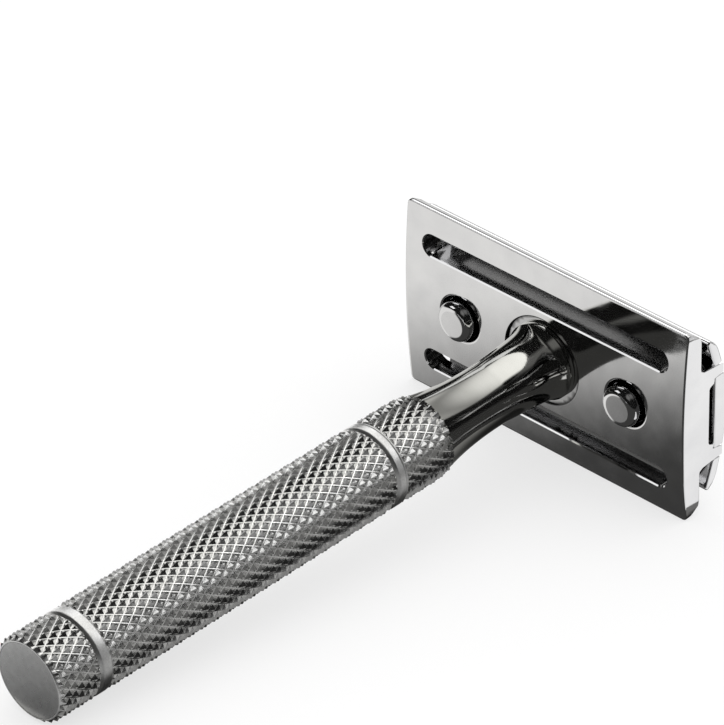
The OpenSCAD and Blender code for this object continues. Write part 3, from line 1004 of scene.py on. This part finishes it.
def studio():
    """The pattern that only shine sees; every other ray meets an even pale surround."""
    sky = Sky()
    rise, product = sky.rise, sky.product
    up = sky.math("MAXIMUM", sky.z, 0.02)
    across = sky.math("DIVIDE", sky.x, up)
    along = sky.math("DIVIDE", sky.y, up)
    right_edge = sky.math("MULTIPLY_ADD", along, 0.55, 0.36)
    inside_right = rise(sky.math("SUBTRACT", right_edge, across), -0.08, 0.12)
    softbox = product(rise(sky.z, 0.0, 0.08), rise(sky.x, -0.64, -0.54), inside_right,
                      rise(along, 0.1, 0.3), rise(along, 0.35, 1.3, 1.3, 0.28),
                      rise(along, 2.1, 1.5))
    back_wall = product(rise(sky.y, 0.35, 0.6), rise(sky.z, -0.05, 0.1),
                        rise(sky.z, 0.6, 0.4), rise(sky.x, -0.6, -0.45),
                        rise(sky.x, 0.45, 0.2), rise(sky.x, -0.45, -0.1, 0.42, 0.28))
    right_high = product(rise(sky.x, 0.1, 0.3), rise(sky.y, 0.1, -0.05), rise(sky.z, 0.45, 0.7),
                         rise(sky.x, 0.7, 0.5), 0.14)
    below = rise(sky.z, 0.05, -0.1)
    table_left = product(below, rise(sky.y, 0.3, -0.1),
                         rise(sky.mix(-2.2, 0, 0.6), 0.76, 0.94, 0.04, 0.8))
    left_shade = product(rise(sky.x, -0.3, -0.55), rise(sky.z, -0.45, -0.15), 0.75)
    left_dimmed = sky.math("SUBTRACT", 1.0, left_shade)
    table_back = product(below, rise(sky.y, 0.3, 0.6), rise(sky.z, -0.72, -0.45, 0.03, 1.0),
                         rise(sky.x, 0.4, -0.5, 0.2, 0.42), left_dimmed)
    fill = 0.006
    light = sky.total(softbox, back_wall, right_high, table_left, table_back, fill)
    nodes, links = sky.tree.nodes, sky.tree.links
    lit = nodes.new("ShaderNodeBackground")
    lit.inputs["Color"].default_value = (1.0, 0.992, 0.97, 1)
    links.new(light, lit.inputs["Strength"])
    plain = nodes.new("ShaderNodeBackground")
    plain.inputs["Color"].default_value = (0.96, 0.96, 0.96, 1)
    ray = nodes.new("ShaderNodeLightPath")
    choose = nodes.new("ShaderNodeMixShader")
    links.new(ray.outputs["Is Glossy Ray"], choose.inputs[0])
    links.new(plain.outputs[0], choose.inputs[1])
    links.new(lit.outputs[0], choose.inputs[2])
    out = nodes.new("ShaderNodeOutputWorld")
    links.new(choose.outputs[0], out.inputs[0])


def floor_light():
    """A broad soft light for the floor's own brightness."""
    lamp = bpy.data.lights.new("overhead", "AREA")
    lamp.shape = "SQUARE"
    lamp.size = 1.8
    lamp.energy = 5.4
    obj = bpy.data.objects.new("overhead", lamp)
    obj.location = (-0.3, 0.5, 1.4)
    obj.rotation_euler = (-obj.location).to_track_quat("-Z", "Y").to_euler()
    bpy.context.scene.collection.objects.link(obj)
    obj.visible_glossy = False
    obj.visible_camera = False


def lit_group(name, pieces):
    """The pieces that a light shines on alone."""
    group = bpy.data.collections.new(name)
    for piece in pieces:
        group.objects.link(piece)
    return group


def panel(name, group, place, facing, size, brightness):
    """A flat soft light of an even brightness, which shines on one group of pieces."""
    lamp = bpy.data.lights.new(name, "AREA")
    lamp.shape = "RECTANGLE"
    lamp.size, lamp.size_y = size
    lamp.energy = brightness * math.pi * size[0] * size[1]
    obj = bpy.data.objects.new(name, lamp)
    obj.location = place
    obj.rotation_euler = Vector(facing).to_track_quat("-Z", "Y").to_euler()
    bpy.context.scene.collection.objects.link(obj)
    obj.visible_camera = False
    obj.light_linking.receiver_collection = group


def far_panel(name, group, centre, towards, side, brightness):
    """A square panel at about a metre from a centre, in a direction."""
    towards = Vector(towards)
    panel(name, group, Vector(centre) + towards, -towards, (side, side), brightness)


def head_panels(group):
    head = (0, 0.038, 0.013)
    far_panel("head_back", group, head, (-0.58, 0.53, 0.62), 0.55, 1.2)
    far_panel("head_front", group, head, (-0.58, -0.62, 0.53), 0.4, 1.0)
    far_panel("cap_right", group, head, (0.68, 0.72, 0.25), 0.7, 0.6)
    far_panel("cap_behind", group, head, (-0.3, 0.93, 0.3), 0.5, 0.5)
    panel("head_table", group, (0.05, 0.26, 0.0002), (0, 0, 1), (0.6, 0.34), 0.4)
    panel("head_bounce", group, (0.044, 0.059, 0.0002), (0, 0, 1), (0.04, 0.05), 0.75)


def grip_panels(group):
    grip = (0, -0.012, 0.009)
    far_panel("grip_back_left", group, grip, (-0.66, 0.54, 0.52), 0.5, 1.0)
    far_panel("grip_left", group, grip, (-0.72, 0.06, 0.70), 0.55, 0.42)
    far_panel("grip_above", group, grip, (-0.12, -0.1, 0.98), 0.42, 1.1)
    far_panel("grip_back_right", group, grip, (0.56, 0.53, 0.64), 0.42, 1.1)
    far_panel("grip_low_right", group, grip, (0.99, 0.0, 0.06), 0.26, 0.25)
    far_panel("grip_low_left", group, grip, (-0.94, 0.3, 0.14), 0.42, 0.95)
    far_panel("grip_low_back", group, grip, (-0.6, 0.78, 0.12), 0.35, 0.5)
    far_panel("grip_right", group, grip, (0.76, 0.57, 0.30), 0.62, 0.34)
    panel("grip_bounce", group, (-0.0735, 0.05, 0.0002), (0, 0, 1), (0.133, 0.18), 1.0)
    panel("grip_bounce_right", group, (0.05, -0.01, 0.0002), (0, 0, 1), (0.08, 0.11), 0.22)


def end_card():
    """A glowing card flat before the end disc, which only shine shows; its glow holds a painted
    contact shadow, darker close to the disc.
    """
    mesh = bpy.data.meshes.new("end_card")
    (low_x, high_x), (low_y, high_y), height = (-0.045, 0.012), (-0.095, -0.0453), 0.0002
    mesh.from_pydata([(low_x, low_y, height), (high_x, low_y, height),
                      (high_x, high_y, height), (low_x, high_y, height)], [], [(0, 1, 2, 3)])
    look = bpy.data.materials.new("card_painted_contact_shadow")
    look.use_nodes = True
    nodes, links = look.node_tree.nodes, look.node_tree.links
    nodes.clear()
    place = nodes.new("ShaderNodeTexCoord")
    away = nodes.new("ShaderNodeVectorMath")
    away.operation = "DISTANCE"
    away.inputs[1].default_value = (0, -0.0448, 0)
    links.new(place.outputs["Object"], away.inputs[0])
    # Painted contact shadow: the glow falls from 0.75 far off to 0.12 at the disc.
    grade = nodes.new("ShaderNodeMapRange")
    for key, number in (("From Min", 0.0), ("From Max", 0.018), ("To Min", 0.12),
                        ("To Max", 0.75)):
        grade.inputs[key].default_value = number
    links.new(away.outputs["Value"], grade.inputs["Value"])
    glow = nodes.new("ShaderNodeEmission")
    links.new(grade.outputs["Result"], glow.inputs["Strength"])
    out = nodes.new("ShaderNodeOutputMaterial")
    links.new(glow.outputs[0], out.inputs[0])
    mesh.materials.append(look)
    obj = bpy.data.objects.new("end_card", mesh)
    bpy.context.scene.collection.objects.link(obj)
    obj.visible_camera = obj.visible_diffuse = obj.visible_shadow = False


def camera():
    aim = Vector((-0.0152, 0.02285, 0.0119))
    azimuth, elevation, roll = (math.radians(a) for a in (42.54, 30.65, 2.70))
    distance = 0.606
    back = Vector((math.sin(azimuth) * math.cos(elevation),
                   -math.cos(azimuth) * math.cos(elevation), math.sin(elevation)))
    data = bpy.data.cameras.new("camera")
    data.sensor_width = 36.0
    data.lens = 254.5
    data.clip_start = 0.01
    data.clip_end = 50.0
    obj = bpy.data.objects.new("camera", data)
    bpy.context.scene.collection.objects.link(obj)
    obj.location = aim + back * distance
    level = (-back).to_track_quat("-Z", "Y").to_matrix()
    obj.rotation_euler = (level @ Matrix.Rotation(roll, 3, "Z")).to_euler()
    bpy.context.scene.camera = obj


floor()
studio()
floor_light()
head_panels(lit_group("head_pieces", head_pieces))
grip_panels(lit_group("grip_pieces", grip_pieces))
end_card()
camera()
bpy.context.scene.view_settings.view_transform = "Standard"
